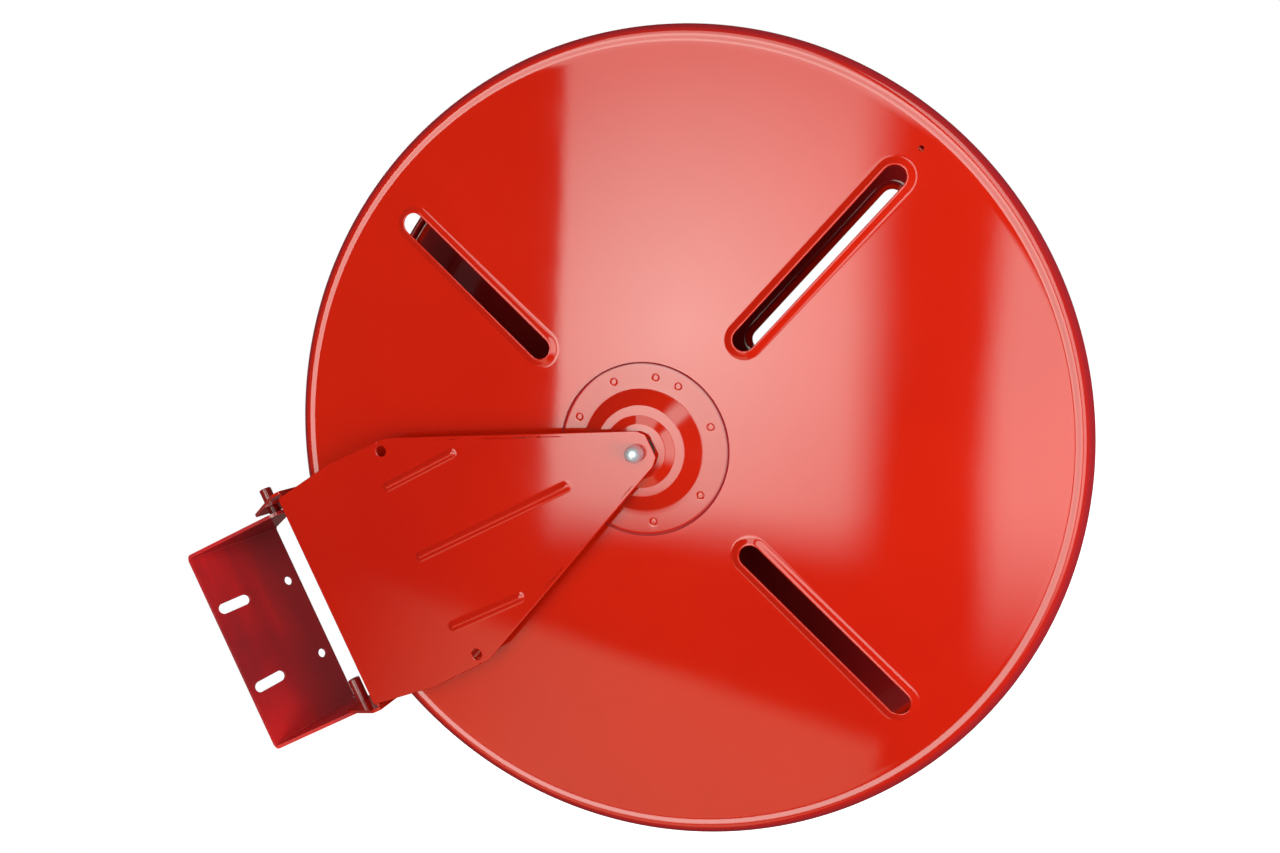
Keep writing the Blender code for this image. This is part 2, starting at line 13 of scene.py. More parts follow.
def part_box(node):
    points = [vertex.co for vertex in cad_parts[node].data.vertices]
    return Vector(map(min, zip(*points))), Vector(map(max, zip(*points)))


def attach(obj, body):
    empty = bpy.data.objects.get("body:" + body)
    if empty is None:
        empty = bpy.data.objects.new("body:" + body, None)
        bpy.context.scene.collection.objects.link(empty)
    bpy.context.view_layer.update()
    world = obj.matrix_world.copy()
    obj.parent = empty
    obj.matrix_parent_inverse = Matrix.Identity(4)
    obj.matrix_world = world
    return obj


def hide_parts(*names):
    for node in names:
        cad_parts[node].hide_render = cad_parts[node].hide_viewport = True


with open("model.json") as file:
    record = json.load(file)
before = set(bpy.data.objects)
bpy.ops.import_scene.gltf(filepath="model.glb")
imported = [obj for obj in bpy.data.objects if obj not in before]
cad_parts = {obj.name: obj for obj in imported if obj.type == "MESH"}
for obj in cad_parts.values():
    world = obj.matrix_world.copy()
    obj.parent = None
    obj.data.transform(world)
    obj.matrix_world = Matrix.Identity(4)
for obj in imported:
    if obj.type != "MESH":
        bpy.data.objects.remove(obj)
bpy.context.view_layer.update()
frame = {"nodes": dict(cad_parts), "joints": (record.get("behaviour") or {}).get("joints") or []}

MM = 0.001
TAU = 2 * math.pi
JOINTS = {joint["name"]: joint for joint in frame["joints"]}
UP = Vector((0.0, 0.0, 1.0))
HINGE = Vector(JOINTS["frame_swing"]["pos_m"])
HUB = Vector(JOINTS["reel_spin"]["pos_m"])
AXLE = Vector(JOINTS["reel_spin"]["axis"]).normalized()
ALONG = UP.cross(AXLE).normalized()          # from the swing axis to the axle


def axes_matrix(origin, x_axis, y_axis, z_axis):
    """Matrix that moves local axes to an origin and three directions."""
    rows = [(x_axis[i], y_axis[i], z_axis[i], origin[i]) for i in range(3)]
    return Matrix(rows + [(0.0, 0.0, 0.0, 1.0)])


# Front pieces lie in x along the arms, y up, z along the axle; rear pieces are turned over about x
FRONT = axes_matrix(HUB, ALONG, UP, AXLE)
REAR = FRONT @ Matrix.Rotation(math.pi, 4, "X")
SIDES = {"front": FRONT, "rear": REAR}
SWING = axes_matrix(HINGE, ALONG, UP.cross(ALONG), UP)


def size_along(node, direction):
    """Lowest and highest place of a node's mesh along a direction from the hub."""
    places = [(vertex.co - HUB).dot(direction) for vertex in frame["nodes"][node].data.vertices]
    return min(places), max(places)


# ---------------------------------------------------------------- driving dimensions

SMOOTH_ANGLE = math.radians(32)
GAP = 0.3 * MM                    # between pieces that touch

DISC_RADIUS = HUB.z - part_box("front_disc")[0].z
DISC_SHEET = 1.5 * MM
RIM_PLANE = 40.05 * MM            # middle of the rolled rim, from the reel's middle plane
RIM_FACE = 1.2 * MM               # face outside the rim plane, at the rim
HUB_FACE = 2.2 * MM               # the same at the hub
HUB_FLAT_RADIUS = 63 * MM
DISH_EDGE_RADIUS = 266.5 * MM
DISC_HOLE_RADIUS = 26 * MM
RIM_OUTER = DISC_RADIUS + 0.8 * MM
RIM_RISE = 1.3 * MM               # crest of the rim above the face
RIM_SLOPE_WIDTH = 4.8 * MM        # inner slope of the rim
CREST_RADIUS = 9 * MM
CREST_SWEEP = math.radians(45)
ROLL_RADIUS = 2.6 * MM
ROLL_END = math.radians(-150)
SLOT_PHASE = math.radians(20.7)
SLOT_COUNT = 4
SLOT_INNER = 102.9 * MM
SLOT_OUTER = 236.3 * MM
SLOT_HALF_WIDTH = 7.5 * MM
LIP_WIDTH = 6.4 * MM
LIP_RISE = 2.4 * MM
LIP_CREST = 0.9 * MM              # rounding of the lip's edge at the slot
TIE_HOLE_REACH = 259 * MM
TIE_HOLE_RADIUS = 1.8 * MM
RIM_STEPS = 288
SLOPE_STEPS = 12
SLOT_SPACING = 3.5 * MM
DISC_GRID = 6 * MM                # between the rings of points on the flat sheet
LIP_ROWS = (0.12, 0.3, 0.6, 0.9, 1.5, 2.2, 3.0, 3.8, 4.6, 5.4, 6.0, 6.5, 7.4)     # mm from a slot
LIP_CLEAR = 8.5 * MM              # from a slot to the plain sheet's points
TIE_ROWS = (0.4, 1.0, 2.0)        # mm from the tie hole

CAP_SHEET = 1.5 * MM
CAP_RADIUS = 60.7 * MM
CAP_TOP = size_along("front_hub_cap", AXLE)[1]
CAP_BASE = RIM_PLANE + HUB_FACE + GAP + CAP_SHEET
CAP_BORE = 9.9 * MM
CAP_FLANGE_INNER = 47 * MM
CAP_WALL_FOOT = 42.6 * MM
CAP_RIDGE = 31.5 * MM             # outer radius of the level step
CAP_STEP_INNER = 25 * MM
CAP_STEP_DROP = 3 * MM            # level step below the centre
CAP_SHOULDER = 19 * MM
CAP_SHOULDER_DROP = 0.8 * MM
CAP_CROWN = 12.5 * MM
CAP_EDGE_ROUND = 1.4 * MM
CAP_STEPS = 144
CAP_ROWS = (50.5, 54.0, 57.5)     # radii in mm
WELD_REACH = 51 * MM
WELD_RADIUS = 2.3 * MM
WELD_DEPTH = 0.17 * MM
WELD_ROWS = (0.5, 0.75, 0.88, 1.0, 1.12, 1.25, 1.5)     # shares of WELD_RADIUS
WELD_ANGLES = (87.0, 52.5, 33.4, -7.0, -62.7, -107.6, 128.0, 171.0, 214.0)     # degrees

BUSHING_BORE = 7.4 * MM
BUSHING_RADIUS = 9.5 * MM
BUSHING_FLANGE_RADIUS = 12 * MM
BUSHING_FLANGE = 1.5 * MM

ROOT = size_along("frame_spine", ALONG)[0]
ARM_NOSE = size_along("front_arm", ALONG)[1]
# Upper corners of an arm's outline from the spine to the axle, as (x, y, radius)
ARM_CORNERS = [(ROOT, 88.5 * MM, 2 * MM), (-226 * MM, 93.5 * MM, 30 * MM), (-172 * MM, 90.5 * MM, 10 * MM),
               (ARM_NOSE - 5 * MM, 13.5 * MM, 4 * MM), (ARM_NOSE, 8.5 * MM, 4 * MM)]
ARM_FACE = 60 * MM                # outer face of an arm, from the reel's middle plane
ARM_THICKNESS = 3 * MM
ARM_EDGE = 0.7 * MM               # rounding of the arms' edges
BEAD_HALF_WIDTH = 3.6 * MM
BEAD_REACH = 1.15 * BEAD_HALF_WIDTH
BEAD_RISE = 1.8 * MM
BEAD_START = -187.4 * MM
BEAD_ENDS = [(-56.6 * MM, 0.0), (-126.6 * MM, 57.3 * MM), (-126.6 * MM, -57.3 * MM)]
BEAD_SPACING = 2.5 * MM
BEAD_ROWS = (0.2, 0.4, 0.6, 0.75, 0.88, 1.0, 1.12, 1.3, 1.7)     # shares of BEAD_HALF_WIDTH
EDGE_SPACING = 4 * MM
EDGE_ROWS = (0.12, 0.35, 0.65, 1.0, 1.6, 3.0)                    # shares of ARM_EDGE
ARM_GRID = 7 * MM                 # between the points on the flat plate
ARM_GRID_HALF = 95 * MM
CORNER_HOLE = (-179.5 * MM, 83 * MM)
CORNER_HOLE_RADIUS = 4 * MM
AXLE_HOLE_RADIUS = 4.3 * MM
EAR_ROOT_HALF = 58 * MM
EAR_ROOT_LENGTH = 8 * MM          # straight part of an ear beside the spine
EAR_OVERLAP = 2 * MM              # ear's root past the arms' root
EAR_NOSE = (-10 * MM, 13 * MM)
EAR_HOLE_RADIUS = 5.6 * MM

BOLT_RADIUS = 4 * MM
BOLT_HEAD_RADIUS = 6.05 * MM
THREAD_PITCH = 1.25 * MM
THREAD_DEPTH = 0.45 * MM
THREAD_TURNS = 6                  # turns that show beyond the nut
NUT_ACROSS_FLATS = 13 * MM

PIN_RADIUS = 5 * MM
BRACKET_SHEET = 3 * MM
BRACKET_BEND = 6 * MM
BRACKET_TIP_RADIUS = 13 * MM
PIN_HOLE_RADIUS = 5.3 * MM
FIXING_HEIGHT = 38 * MM           # of the screw holes and slots, above and below the middle
HOLE_SIDE = 31 * MM               # of the screw holes, sideways from the swing axis
HOLE_RADIUS = 4.25 * MM
SLOT_SIDES = (-36 * MM, -15 * MM)     # of the centres of a screw slot's round ends
SLOT_RADIUS = 4.75 * MM
WALL_STRIP = 4 * MM               # full-width part of the flanges beside the wall
CUT_MARGIN = 10 * MM              # cutters' reach past what they cut


# ---------------------------------------------------------------- outlines

def arc(centre, radius, start, end, count):
    points = []
    for index in range(count):
        angle = start + (end - start) * index / (count - 1)
        points.append((centre[0] + radius * math.cos(angle), centre[1] + radius * math.sin(angle)))
    return points


def circle(centre, radius, count):
    return arc(centre, radius, 0.0, TAU, count + 1)[:-1]


def divide(start, end, spacing):
    """Points from start up to, and without, end."""
    start, end = Vector(start), Vector(end)
    count = max(1, round((end - start).length / spacing))
    return [tuple(start.lerp(end, index / count)) for index in range(count)]


def stadium(start, end, radius, spacing, round_count):
    """Closed outline around a line, with evenly divided sides and half-round ends."""
    start, end = Vector(start), Vector(end)
    heading = math.atan2(end.y - start.y, end.x - start.x)
    quarter = math.pi / 2
    far = arc(end, radius, heading - quarter, heading + quarter, round_count)
    near = arc(start, radius, heading + quarter, heading + 3 * quarter, round_count)
    return far + divide(far[-1], near[0], spacing)[1:] + near + divide(near[-1], far[0], spacing)[1:]


def corner_arc(before, here, after, radius, count):
    """Arc that rounds the corner at here, between the points before and after it."""
    corner = Vector(here)
    back = (Vector(before) - corner).normalized()
    ahead = (Vector(after) - corner).normalized()
    half = back.angle(ahead) / 2
    setback = radius / math.tan(half)
    centre = corner + (back + ahead).normalized() * (radius / math.sin(half))
    first = corner + back * setback - centre
    last = corner + ahead * setback - centre
    start = math.atan2(first.y, first.x)
    sweep = (math.atan2(last.y, last.x) - start + math.pi) % TAU - math.pi
    return arc(centre, radius, start, start + sweep, count)


def rounded(corners, count=7):
    """Closed outline through (x, y, radius) corners."""
    points = []
    for index, (x, y, radius) in enumerate(corners):
        before, after = corners[index - 1], corners[(index + 1) % len(corners)]
        points += corner_arc(before[:2], (x, y), after[:2], radius, count)
    return points


def fillet_path(points, count):
    """Open (radius, height, rounding) path with its inner corners rounded."""
    path = [points[0][:2]]
    for before, (x, y, radius), after in zip(points, points[1:], points[2:]):
        path += corner_arc(before[:2], (x, y), after[:2], radius, count)
    path.append(points[-1][:2])
    return path


def mirrored(corners):
    """Corners above y = 0, then their mirror images below it."""
    return corners + [(x, -y, radius) for x, y, radius in reversed(corners)]


def divide_outline(points, spacing):
    """Closed outline with its sides divided evenly."""
    divided = []
    for index, point in enumerate(points):
        divided += divide(point, points[(index + 1) % len(points)], spacing)
    return divided


def line_distance(point, start, end):
    """Distance to a line between two ends."""
    point, start, end = Vector(point), Vector(start), Vector(end)
    along = end - start
    share = max(0.0, min(1.0, (point - start).dot(along) / max(along.length_squared, 1e-12)))
    return (point - start - along * share).length


def nearest_line(point, lines):
    """Distance to the nearest of some (start, end) lines."""
    return min(line_distance(point, start, end) for start, end in lines)


def nearest_hole(point, holes):
    """Distance to the edge of the nearest of some (centre, radius) holes; negative inside it."""
    gaps = [(Vector(point) - Vector(centre)).length - radius for centre, radius in holes]
    return min(gaps, default=math.inf)


# ---------------------------------------------------------------- mesh helpers

def new_object(name, bm, smooth=True):
    mesh = bpy.data.meshes.new(name)
    bm.normal_update()
    bm.to_mesh(mesh)
    bm.free()
    obj = bpy.data.objects.new(name, mesh)
    bpy.context.scene.collection.objects.link(obj)
    if smooth:
        mesh.shade_smooth()
        mesh.set_sharp_from_angle(angle=SMOOTH_ANGLE)
    return obj


def place(obj, matrix, body, material, node):
    """Moves a piece made in local axes to where its node is, and lets it stand in for the node."""
    obj.name = node + "_skin"
    obj.data.transform(matrix)
    obj.data.materials.clear()
    obj.data.materials.append(material)
    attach(obj, body)
    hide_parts(node)
    return obj


def soften(obj, width, segments=2):
    """Small rounds on the sharp edges, with normals that keep the flats flat."""
    bevel = obj.modifiers.new("Edges", "BEVEL")
    bevel.width = width
    bevel.segments = segments
    bevel.limit_method = "ANGLE"
    bevel.angle_limit = SMOOTH_ANGLE
    bevel.harden_normals = True
    return obj


def vertex_ring(bm, radius, height, steps):
    """Vertices around local z, or the single one on it."""
    if radius == 0.0:
        return [bm.verts.new((0.0, 0.0, height))]
    return [bm.verts.new((x, y, height)) for x, y in circle((0.0, 0.0), radius, steps)]


def bridge(bm, upper, lower, steps):
    """Faces between two rings, of which one may be a single vertex."""
    for index in range(steps):
        after = (index + 1) % steps
        corners = [upper[index % len(upper)], lower[index % len(lower)],
                   lower[after % len(lower)], upper[after % len(upper)]]
        bm.faces.new(list(dict.fromkeys(corners)))


def lathe(name, profile, steps, closed=True):
    """Turned solid about local z from (radius, height) points; closed joins the last to the first."""
    bm = bmesh.new()
    rings = [vertex_ring(bm, radius, height, steps) for radius, height in profile]
    for upper, lower in zip(rings, rings[1:]):
        bridge(bm, upper, lower, steps)
    if closed:
        bridge(bm, rings[-1], rings[0], steps)
    bmesh.ops.recalc_face_normals(bm, faces=bm.faces)
    return new_object(name, bm)


def raise_faces(bm, rise):
    """Turns a flat mesh into a closed solid by extruding it upwards."""
    result = bmesh.ops.extrude_face_region(bm, geom=bm.faces)
    moved = [item for item in result["geom"] if isinstance(item, bmesh.types.BMVert)]
    bmesh.ops.translate(bm, verts=moved, vec=(0.0, 0.0, rise))
    bmesh.ops.recalc_face_normals(bm, faces=bm.faces)


def triangulate(boundary_loops, inner_points, keep):
    """Triangles over a flat region: loops are edges to respect, keep(point) says what stays."""
    points = []
    edges = []
    for loop in boundary_loops:
        first = len(points)
        points += [Vector(point) for point in loop]
        edges += [(first + index, first + (index + 1) % len(loop)) for index in range(len(loop))]
    points += [Vector(point) for point in inner_points]
    verts, _, faces, _, _, _ = delaunay_2d_cdt(points, edges, [], 0, 1e-6, True)
    kept = []
    for face in faces:
        centre = sum((verts[index] for index in face), Vector((0.0, 0.0))) / len(face)
        if keep(centre):
            kept.append(face)
    return verts, kept


def pressed_sheet(name, loops, inner_points, keep, height, thickness, rims=()):
    """Sheet with its outer face at height(point). rims are (loop radius, steps, profile) turned
    edges, which carry on from a round loop."""
    verts, faces = triangulate(loops, inner_points, keep)
    bm = bmesh.new()
    made = [bm.verts.new((vert.x, vert.y, height(vert))) for vert in verts]
    for face in faces:
        bm.faces.new([made[index] for index in face])
    for loop_radius, steps, profile in rims:
        points = [Vector(point) for point in circle((0.0, 0.0), loop_radius, steps)]
        previous = [bm.verts.new((point.x, point.y, height(point))) for point in points]
        for radius, level in profile:
            ring = vertex_ring(bm, radius, level, steps)
            bridge(bm, previous, ring, steps)
            previous = ring
    loose = [vert for vert in bm.verts if not vert.link_faces]
    bmesh.ops.delete(bm, geom=loose, context="VERTS")
    bmesh.ops.remove_doubles(bm, verts=bm.verts, dist=5e-6)
    bmesh.ops.recalc_face_normals(bm, faces=bm.faces)
    upward = sum(face.normal.z * face.calc_area() for face in bm.faces)
    if upward < 0:
        bmesh.ops.reverse_faces(bm, faces=bm.faces)
    obj = new_object(name, bm)
    solidify = obj.modifiers.new("Sheet", "SOLIDIFY")
    solidify.thickness = thickness
    solidify.offset = -1.0
    solidify.use_even_offset = False
    return obj


def edge_gap(point, outline):
    """Distance inwards from a convex outline; negative outside it."""
    starts = np.array(outline)
    sides = np.roll(starts, -1, axis=0) - starts
    lengths = np.hypot(sides[:, 0], sides[:, 1])
    keep = lengths > 1e-9
    offsets = np.array(point[:2]) - starts[keep]
    crosses = (sides[keep, 0] * offsets[:, 1] - sides[keep, 1] * offsets[:, 0]) / lengths[keep]
    turning = 1.0 if crosses.sum() > 0.0 else -1.0
    return float((crosses * turning).min())


def inset_outline(outline, inset):
    """The same points moved inwards, across the line between each point's neighbours."""
    moved = []
    for index, point in enumerate(outline):
        along = Vector(outline[(index + 1) % len(outline)]) - Vector(outline[index - 1])
        across = Vector((-along.y, along.x)).normalized() * inset
        here = Vector(point) + across
        if edge_gap(here, outline) < 0.5 * inset:
            here = Vector(point) - across
        moved.append(tuple(here))
    return moved


def edge_drop(gap, radius):
    """How far a rounded edge lies below the face, at a distance from the edge."""
    share = 1.0 - min(1.0, gap / radius)
    return radius * (1.0 - math.sqrt(1.0 - min(0.98, share) ** 2))


def smoothstep(share):
    share = max(0.0, min(1.0, share))
    return share * share * (3.0 - 2.0 * share)


# ---------------------------------------------------------------- reel

def slot_line(angle):
    """Ends of the middle line of a radial slot, without its round ends."""
    heading = Vector((math.cos(angle), math.sin(angle)))
    return heading * SLOT_INNER, heading * SLOT_OUTER


def dish_height(radius):
    """Outer face of a disc's plain sheet, from the reel's middle plane."""
    share = (radius - HUB_FLAT_RADIUS) / (DISH_EDGE_RADIUS - HUB_FLAT_RADIUS)
    share = max(0.0, min(1.0, share))
    return RIM_PLANE + HUB_FACE + share * (RIM_FACE - HUB_FACE)


def lip_height(gap):
    """Rise of the pressed lip at a distance from the slot's edge."""
    flare = LIP_RISE * (1.0 - smoothstep(gap / LIP_WIDTH))
    return flare - edge_drop(gap, LIP_CREST)


def rim_profile():
    """Section of the rim: a slope up to a broad crest, then a tight roll to the back."""
    level = dish_height(DISC_RADIUS)
    lean = math.sin(CREST_SWEEP)
    crest = RIM_OUTER - CREST_RADIUS * lean - ROLL_RADIUS * (1.0 - lean)
    points = []
    for step in range(SLOPE_STEPS + 1):
        share = step / SLOPE_STEPS
        points.append((crest - RIM_SLOPE_WIDTH * (1.0 - share), level + RIM_RISE * smoothstep(share)))
    turn = math.pi / 2 - CREST_SWEEP
    centre = Vector((crest, level + RIM_RISE - CREST_RADIUS))
    points += arc(centre, CREST_RADIUS, math.pi / 2, turn, 10)[1:]
    inward = Vector((math.cos(turn), math.sin(turn))) * (CREST_RADIUS - ROLL_RADIUS)
    return points + arc(centre + inward, ROLL_RADIUS, turn, ROLL_END, 16)[1:]


def make_disc(side, material):
    """Pressed disc with four lipped slots, a tie hole and a rolled rim."""
    name = side + "_disc"
    mirror = 1.0 if side == "front" else -1.0
    lines = [slot_line(mirror * (SLOT_PHASE + TAU * index / SLOT_COUNT)) for index in range(SLOT_COUNT)]
    phase = mirror * SLOT_PHASE
    tie = (TIE_HOLE_REACH * math.cos(phase), TIE_HOLE_REACH * math.sin(phase))
    holes = [((0.0, 0.0), DISC_HOLE_RADIUS), (tie, TIE_HOLE_RADIUS)]
    flat_edge = DISH_EDGE_RADIUS - 1.5 * MM
    loops = [circle((0.0, 0.0), flat_edge, RIM_STEPS), circle((0.0, 0.0), DISC_HOLE_RADIUS, 72),
             circle(tie, TIE_HOLE_RADIUS, 20)]
    inner = []
    for start, end in lines:
        loops.append(stadium(start, end, SLOT_HALF_WIDTH, SLOT_SPACING, 19))
        for offset in LIP_ROWS:
            inner += stadium(start, end, SLOT_HALF_WIDTH + offset * MM, SLOT_SPACING, 19)
    for offset in TIE_ROWS:
        inner += circle(tie, TIE_HOLE_RADIUS + offset * MM, 20)
    radius = DISC_HOLE_RADIUS + 5 * MM
    while radius < flat_edge - DISC_GRID / 2:
        steps = RIM_STEPS if radius > 120 * MM else RIM_STEPS // 2
        for point in circle((0.0, 0.0), radius, steps):
            near_tie = (Vector(point) - Vector(tie)).length
            if nearest_line(point, lines) > SLOT_HALF_WIDTH + LIP_CLEAR and near_tie > DISC_GRID:
                inner.append(point)
        radius += DISC_GRID

    def height(point):
        gap = max(0.0, nearest_line(point, lines) - SLOT_HALF_WIDTH)
        return dish_height(point.length) + lip_height(gap)

    def keep(point):
        return nearest_hole(point, holes) > 0.0 and nearest_line(point, lines) > SLOT_HALF_WIDTH

    disc = pressed_sheet(name, loops, inner, keep, height, DISC_SHEET,
                         [(flat_edge, RIM_STEPS, rim_profile())])
    return place(soften(disc, 0.25 * MM), SIDES[side], "reel", material, name)


def make_hub_cap(side, material):
    """Stepped pressing with a flange and its ring of spot welds."""
    name = side + "_hub_cap"
    mirror = 1.0 if side == "front" else -1.0
    edge = CAP_RADIUS - CAP_EDGE_ROUND
    welds = []
    for degrees in WELD_ANGLES:
        angle = mirror * math.radians(degrees)
        welds.append(Vector((WELD_REACH * math.cos(angle), WELD_REACH * math.sin(angle))))
    loops = [circle((0.0, 0.0), edge, CAP_STEPS), circle((0.0, 0.0), CAP_FLANGE_INNER, CAP_STEPS)]
    inner = []
    for weld in welds:
        inner.append(tuple(weld))
        for share in WELD_ROWS:
            inner += circle(weld, share * WELD_RADIUS, 20)
    for radius in CAP_ROWS:
        for point in circle((0.0, 0.0), radius * MM, CAP_STEPS):
            if min((Vector(point) - weld).length for weld in welds) > 1.9 * WELD_RADIUS:
                inner.append(point)

    def height(point):
        gap = min((point - weld).length for weld in welds) / WELD_RADIUS
        return CAP_BASE - WELD_DEPTH * math.exp(-((gap - 1.0) / 0.15) ** 2)

    def keep(point):
        return CAP_FLANGE_INNER < point.length < edge

    step = CAP_TOP - CAP_STEP_DROP
    wall = fillet_path([(CAP_FLANGE_INNER, CAP_BASE, 0.0), (CAP_WALL_FOOT, CAP_BASE, 2.0 * MM),
                        (CAP_RIDGE, step, 1.4 * MM), (CAP_STEP_INNER, step, 2.5 * MM),
                        (CAP_SHOULDER, CAP_TOP - CAP_SHOULDER_DROP, 4.0 * MM),
                        (CAP_CROWN, CAP_TOP, 2.5 * MM), (CAP_BORE, CAP_TOP, 0.0)], 7)
    turned_edge = arc((edge, CAP_BASE - CAP_EDGE_ROUND), CAP_EDGE_ROUND, math.pi / 2, 0.0, 7)[1:]
    cap = pressed_sheet(name, loops, inner, keep, height, CAP_SHEET - 0.1 * MM,
                        [(CAP_FLANGE_INNER, CAP_STEPS, wall[1:]), (edge, CAP_STEPS, turned_edge)])
    return place(soften(cap, 0.2 * MM), SIDES[side], "reel", material, name)


def ring_of(node, edge=0.2 * MM, bore=None):
    """Section of a turned ring with broken edges, with the length, radius and bore of a node."""
    low, high = size_along(node, AXLE)
    radii = []
    for vertex in frame["nodes"][node].data.vertices:
        offset = vertex.co - HUB
        radii.append((offset - AXLE * offset.dot(AXLE)).length)
    inner = min(radii) if bore is None else bore
    outer = max(radii)
    return [(inner + edge, high), (outer - edge, high), (outer, high - edge), (outer, low + edge),
            (outer - edge, low), (inner + edge, low), (inner, low + edge), (inner, high - edge)]


def make_core(material):
    core = lathe("drum_core", ring_of("drum_core"), 96)
    return place(core, FRONT, "reel", material, "drum_core")


def make_bushing(side, material):
    """Plain bearing whose flange lies on the hub cap."""
    name = side + "_bushing"
    low, high = size_along(name, AXLE if side == "front" else -AXLE)
    bore, seat, flange, edge = BUSHING_BORE, BUSHING_RADIUS, BUSHING_FLANGE_RADIUS, 0.25 * MM
    shoulder = high - BUSHING_FLANGE
    profile = [(bore + edge, high), (flange - edge, high), (flange, high - edge),
               (flange, shoulder + edge), (flange - edge, shoulder), (seat, shoulder),
               (seat, low + edge), (seat - edge, low), (bore + edge, low), (bore, low + edge),
               (bore, high - edge)]
    bushing = lathe(name, profile, 72)
    return place(bushing, SIDES[side], "reel", material, name)


# ---------------------------------------------------------------- swing frame

def make_arm(side, material):
    """Plate with three pressed stiffening beads."""
    name = side + "_arm"
    outline = divide_outline(rounded(mirrored(ARM_CORNERS), 9), EDGE_SPACING)
    beads = [(Vector((BEAD_START, y)), Vector((x, y))) for x, y in BEAD_ENDS]
    holes = [((0.0, 0.0), AXLE_HOLE_RADIUS)]
    holes += [((CORNER_HOLE[0], CORNER_HOLE[1] * sign), CORNER_HOLE_RADIUS) for sign in (1, -1)]
    loops = [outline] + [circle(centre, radius, 32) for centre, radius in holes]
    inner = []
    for share in EDGE_ROWS:
        inner += inset_outline(outline, share * ARM_EDGE)
        for centre, radius in holes:
            inner += circle(centre, radius + share * ARM_EDGE, 32)
    for start, end in beads:
        inner += divide(start, end, BEAD_SPACING) + [tuple(end)]
        for share in BEAD_ROWS:
            inner += stadium(start, end, BEAD_HALF_WIDTH * share, BEAD_SPACING, 15)
    for column in range(1, int((ARM_NOSE - ROOT) / ARM_GRID)):
        for row in range(1, int(2 * ARM_GRID_HALF / ARM_GRID)):
            point = Vector((ROOT + column * ARM_GRID, row * ARM_GRID - ARM_GRID_HALF))
            near_edge = min(nearest_hole(point, holes), edge_gap(point, outline))
            if nearest_line(point, beads) > 2.4 * BEAD_HALF_WIDTH and near_edge > 5 * MM:
                inner.append(tuple(point))

    def height(point):
        crown = BEAD_RISE * (1.0 - smoothstep(nearest_line(point, beads) / BEAD_REACH))
        gap = max(0.0, min(nearest_hole(point, holes), edge_gap(point, outline)))
        return ARM_FACE + crown - edge_drop(gap, ARM_EDGE)

    def keep(point):
        return nearest_hole(point, holes) > 0.0

    arm = pressed_sheet(name, loops, inner, keep, height, ARM_THICKNESS)
    return place(arm, SIDES[side], "swing_frame", material, name)


def flat_plate(name, outline, holes, low, high):
    """Plate between two heights with square edges, which soften() then rounds."""
    loops = [outline] + [circle(centre, radius, 40) for centre, radius in holes]

    def keep(point):
        return nearest_hole(point, holes) > 0.0

    verts, faces = triangulate(loops, [], keep)
    bm = bmesh.new()
    made = [bm.verts.new((vert.x, vert.y, low)) for vert in verts]
    for face in faces:
        bm.faces.new([made[index] for index in face])
    bmesh.ops.dissolve_limit(bm, angle_limit=0.01, verts=bm.verts, edges=bm.edges)
    raise_faces(bm, high - low)
    return new_object(name, bm)


def ear_outline():
    """Plan of an ear that narrows from the spine to its nose about the hinge pin."""
    root = ROOT + (HUB - HINGE).dot(ALONG) + EAR_OVERLAP
    corners = [(root, EAR_ROOT_HALF, 1 * MM), (root - EAR_ROOT_LENGTH, EAR_ROOT_HALF, 4 * MM),
               (*EAR_NOSE, 5 * MM)]
    return rounded(mirrored(corners))


def make_ear(node, material):
    low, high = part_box(node)
    plate = flat_plate(node, ear_outline(), [((0.0, 0.0), EAR_HOLE_RADIUS)], low.z, high.z)
    return place(soften(plate, 0.4 * MM, 3), SWING, "swing_frame", material, node)


def make_spine(material):
    low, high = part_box("frame_spine")
    half = max(abs(edge) for edge in size_along("frame_spine", AXLE))
    outline = rounded([(-half, low.z, 0.3 * MM), (half, low.z, 0.3 * MM), (half, high.z, 0.3 * MM),
                       (-half, high.z, 0.3 * MM)], 3)
    near, far = size_along("frame_spine", ALONG)
    spine = flat_plate("frame_spine", outline, [], near, far)
    turned = axes_matrix(Vector((HUB.x, HUB.y, 0.0)), -AXLE, UP, ALONG)
    return place(soften(spine, 0.4 * MM, 3), turned, "swing_frame", material,
                 "frame_spine")


# ---------------------------------------------------------------- axle

def make_axle_bolt(material):
    """Bolt with a low domed head and a threaded end."""
    low, high = size_along("axle_bolt", AXLE)
    seat = ARM_FACE + GAP
    radius = BOLT_HEAD_RADIUS
    crown = arc((0.0, high - radius), radius, math.radians(90), math.radians(4), 18)
    profile = [(0.0, high)] + crown[1:]
    profile += [(radius, seat + 0.4 * MM), (radius - 0.3 * MM, seat), (BOLT_RADIUS, seat)]
    thread_end = low + 1.2 * MM
    for index in range(THREAD_TURNS):
        top = thread_end + (THREAD_TURNS - index) * THREAD_PITCH
        profile += [(BOLT_RADIUS, top), (BOLT_RADIUS - THREAD_DEPTH, top - THREAD_PITCH / 2)]
    profile += [(BOLT_RADIUS, thread_end), (BOLT_RADIUS - 1.0 * MM, low), (0.0, low)]
    bolt = lathe("axle_bolt", profile, 72, closed=False)
    return place(bolt, FRONT, "swing_frame", material, "axle_bolt")


def make_axle_sleeve(material):
    sleeve = lathe("axle_sleeve", ring_of("axle_sleeve", bore=AXLE_HOLE_RADIUS), 72)
    return place(sleeve, FRONT, "swing_frame", material, "axle_sleeve")


def make_washer(node, material):
    washer = lathe(node, ring_of(node, 0.15 * MM), 72)
    return place(washer, FRONT, "swing_frame", material, node)


